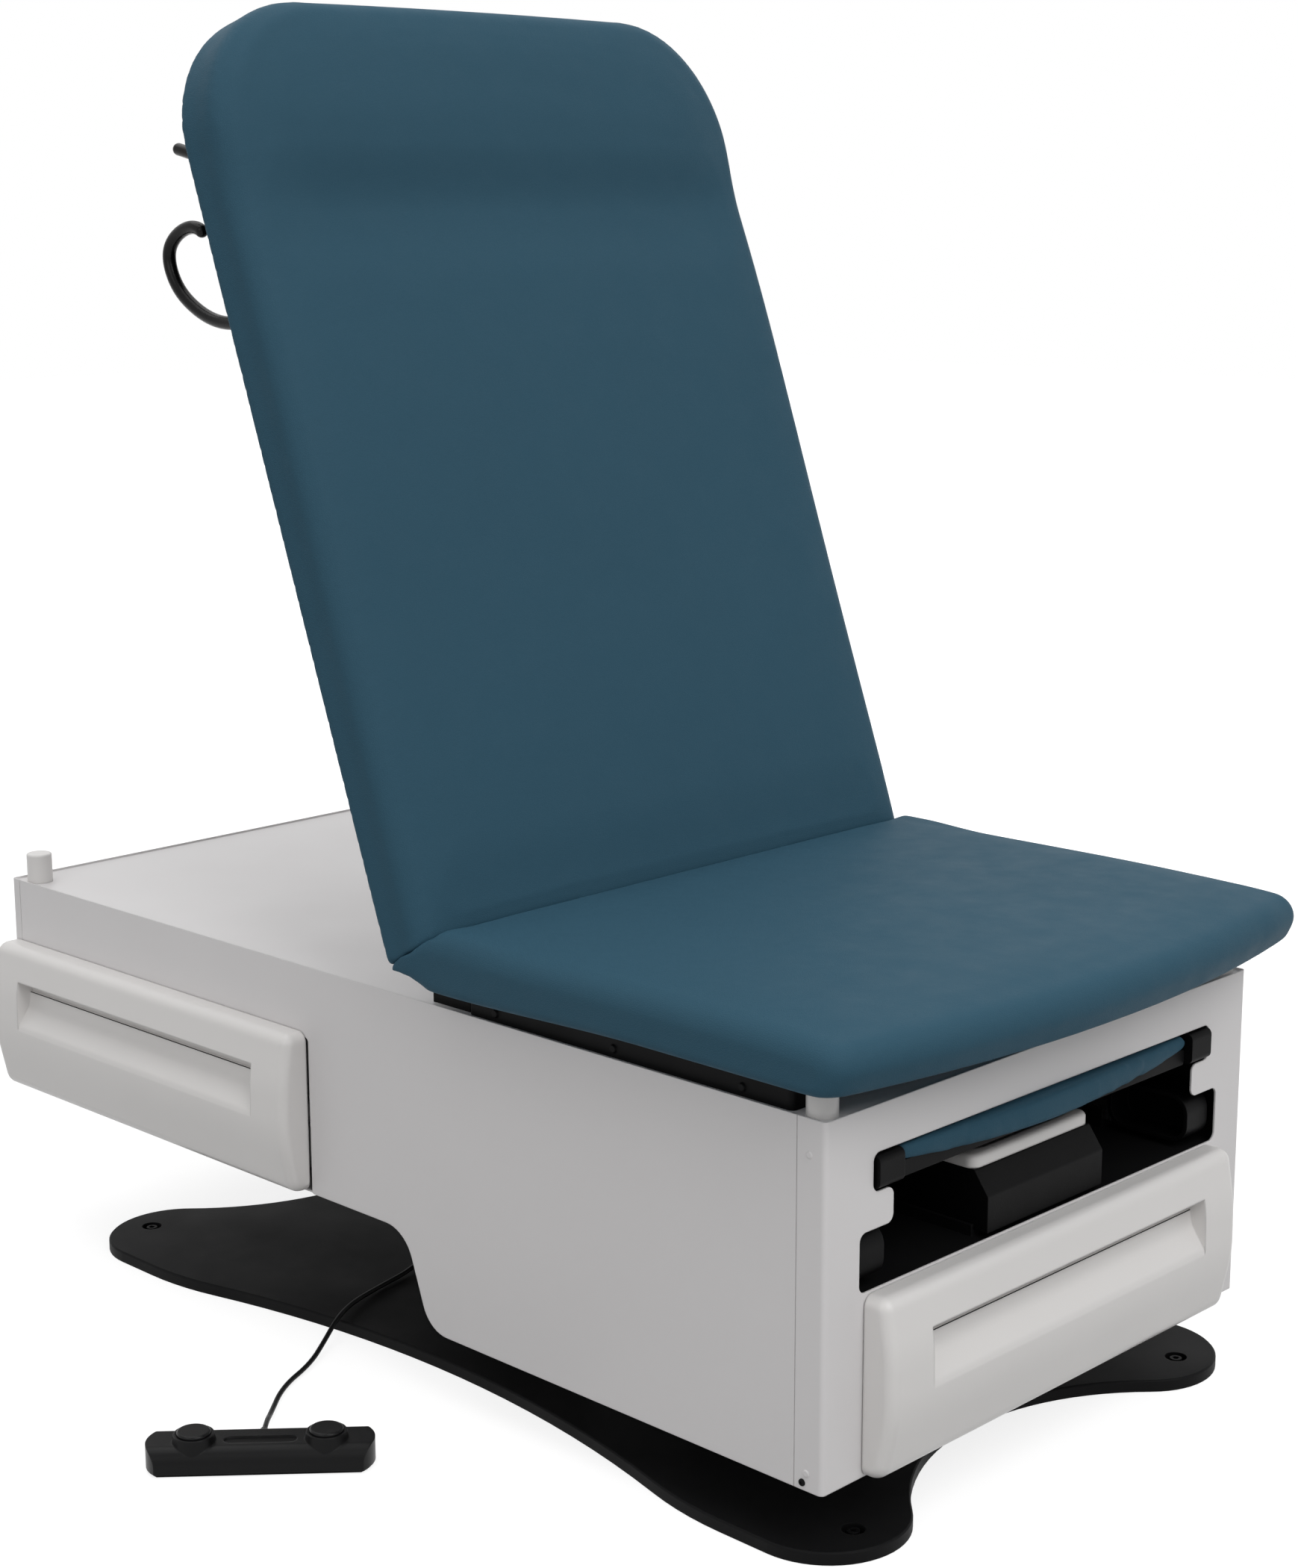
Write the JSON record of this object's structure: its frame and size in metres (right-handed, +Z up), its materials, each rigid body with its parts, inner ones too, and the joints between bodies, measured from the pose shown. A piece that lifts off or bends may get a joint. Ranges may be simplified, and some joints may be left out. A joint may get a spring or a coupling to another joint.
{
  "type": "power examination table",
  "caption": "Clinic examination table on a lifting column, with hinged padded back, bowed seat cushion, drawers, stowed leg rest and a corded foot control.",
  "frame": {"origin": "on the floor under the centre of the floor plate", "axes": "+Z up, -Y towards the foot end, +X to the right of someone facing the table from the foot end"},
  "size_m": [0.9632, 1.2719, 1.3418],
  "materials": {
    "upholstery": "soft vinyl",
    "cabinet_paint": "powder coat",
    "moulded_white": "satin",
    "black_paint": "textured powder coat",
    "black_plastic": "moulded",
    "gloss_black": "gloss",
    "zinc_steel": "zinc plated",
    "bright_steel": "polished",
    "column_alloy": "anodised",
    "nylon": "natural",
    "control_black": "fine texture",
    "button_black": "smooth",
    "rubber": "matt",
    "cord_jacket": "matt"
  },
  "bodies": {
    "base": {"base_plate": "black_paint", "levelling_feet": "black_plastic", "column_outer": "column_alloy", "column_outer_glides": "nylon", "lift_motor": "black_plastic", "actuator_tube": "zinc_steel", "control_box": "black_plastic", "power_inlet": "gloss_black", "cord_gland": "black_plastic", "foot_control_housing": "control_black", "foot_control_base": "rubber", "foot_control_cord": "cord_jacket"},
    "column_stage": {"column_middle": "column_alloy", "column_middle_glides": "nylon", "actuator_middle": "zinc_steel"},
    "chassis": {"column_inner": "column_alloy", "column_head": "black_paint", "actuator_rod": "bright_steel", "chassis_frame": "black_paint", "underside_skin": "cabinet_paint", "side_panel_left": "cabinet_paint", "side_panel_right": "cabinet_paint", "front_panel": "cabinet_paint", "rear_panel": "cabinet_paint", "top_deck": "cabinet_paint", "corner_posts": "moulded_white", "stowage_shelf": "black_paint", "front_drawer_runners": "zinc_steel", "side_drawer_runners": "zinc_steel", "seat_frame": "black_paint", "seat_pad": "upholstery", "hinge_forks": "black_paint", "hinge_pins": "bright_steel", "gas_spring_cylinder": "black_paint"},
    "backrest": {"back_pad": "upholstery", "back_board": "black_plastic", "back_frame": "black_paint", "paper_hooks": "gloss_black", "paper_pegs": "gloss_black", "release_bracket": "zinc_steel"},
    "release": {"release_lever": "black_plastic"},
    "gas_rod": {"gas_spring_rod": "bright_steel"},
    "front_drawer": {"front_drawer_front": "moulded_white", "front_drawer_box": "moulded_white"},
    "side_drawer_left": {"side_drawer_left_front": "moulded_white", "side_drawer_left_box": "moulded_white"},
    "side_drawer_right": {"side_drawer_right_front": "moulded_white", "side_drawer_right_box": "moulded_white"},
    "leg_rest": {"leg_rest_frame": "black_paint", "leg_rest_caps": "black_plastic", "leg_rest_pad": "upholstery"},
    "pan": {"pan_sled": "black_plastic", "treatment_pan": "moulded_white"},
    "stirrup_left": {"stirrup_left_bar": "zinc_steel", "stirrup_left_cup": "black_plastic"},
    "stirrup_right": {"stirrup_right_bar": "zinc_steel", "stirrup_right_cup": "black_plastic"},
    "button_up": {"foot_button_up": "button_black"},
    "button_down": {"foot_button_down": "button_black"}
  },
  "joints": [
    {"name": "lift", "type": "slide", "parent": "base", "child": "chassis", "axis": [0, 0, 1], "range_m": [0, 0.483]},
    {"name": "column_stage_slide", "type": "slide", "parent": "base", "child": "column_stage", "axis": [0, 0, 1], "range_m": [0, 0.2416]},
    {"name": "back_hinge", "type": "hinge", "parent": "chassis", "child": "backrest", "pos_m": [0, -0.0472, 0.456], "axis": [1, 0, 0], "range_deg": [-70.2, 0]},
    {"name": "gas_rod_slide", "type": "slide", "parent": "chassis", "child": "gas_rod", "axis": [0, 1, 0], "range_m": [-0.1045, 0.001]},
    {"name": "release_press", "type": "hinge", "parent": "backrest", "child": "release", "pos_m": [0, 0.27044, 1.24293], "axis": [1, 0, 0], "range_deg": [0, 8], "stiffness_Nm_per_rad": 1.5, "springref_deg": -8.59},
    {"name": "front_drawer_slide", "type": "slide", "parent": "chassis", "child": "front_drawer", "axis": [0, -1, 0], "range_m": [0, 0.25]},
    {"name": "side_drawer_left_slide", "type": "slide", "parent": "chassis", "child": "side_drawer_left", "axis": [-1, 0, 0], "range_m": [0, 0.25]},
    {"name": "side_drawer_right_slide", "type": "slide", "parent": "chassis", "child": "side_drawer_right", "axis": [1, 0, 0], "range_m": [0, 0.25]},
    {"name": "leg_rest_slide", "type": "slide", "parent": "chassis", "child": "leg_rest", "axis": [0, -1, 0], "range_m": [0, 0.22]},
    {"name": "pan_slide", "type": "slide", "parent": "chassis", "child": "pan", "axis": [0, -1, 0], "range_m": [0, 0.18]},
    {"name": "stirrup_left_slide", "type": "slide", "parent": "chassis", "child": "stirrup_left", "axis": [0, -1, 0], "range_m": [0, 0.15]},
    {"name": "stirrup_right_slide", "type": "slide", "parent": "chassis", "child": "stirrup_right", "axis": [0, -1, 0], "range_m": [0, 0.15]},
    {"name": "button_up_press", "type": "slide", "parent": "base", "child": "button_up", "axis": [0, 0, -1], "range_m": [0, 0.004], "stiffness_N_per_m": 900, "springref_m": -0.002},
    {"name": "button_down_press", "type": "slide", "parent": "base", "child": "button_down", "axis": [0, 0, -1], "range_m": [0, 0.004], "stiffness_N_per_m": 900, "springref_m": -0.002}
  ],
  "couplings": [
    {"joint": "column_stage_slide", "follows": "lift", "ratio": 0.5},
    {"joint": "gas_rod_slide", "follows": "back_hinge", "m_per_rad": 0.084474}
  ]
}
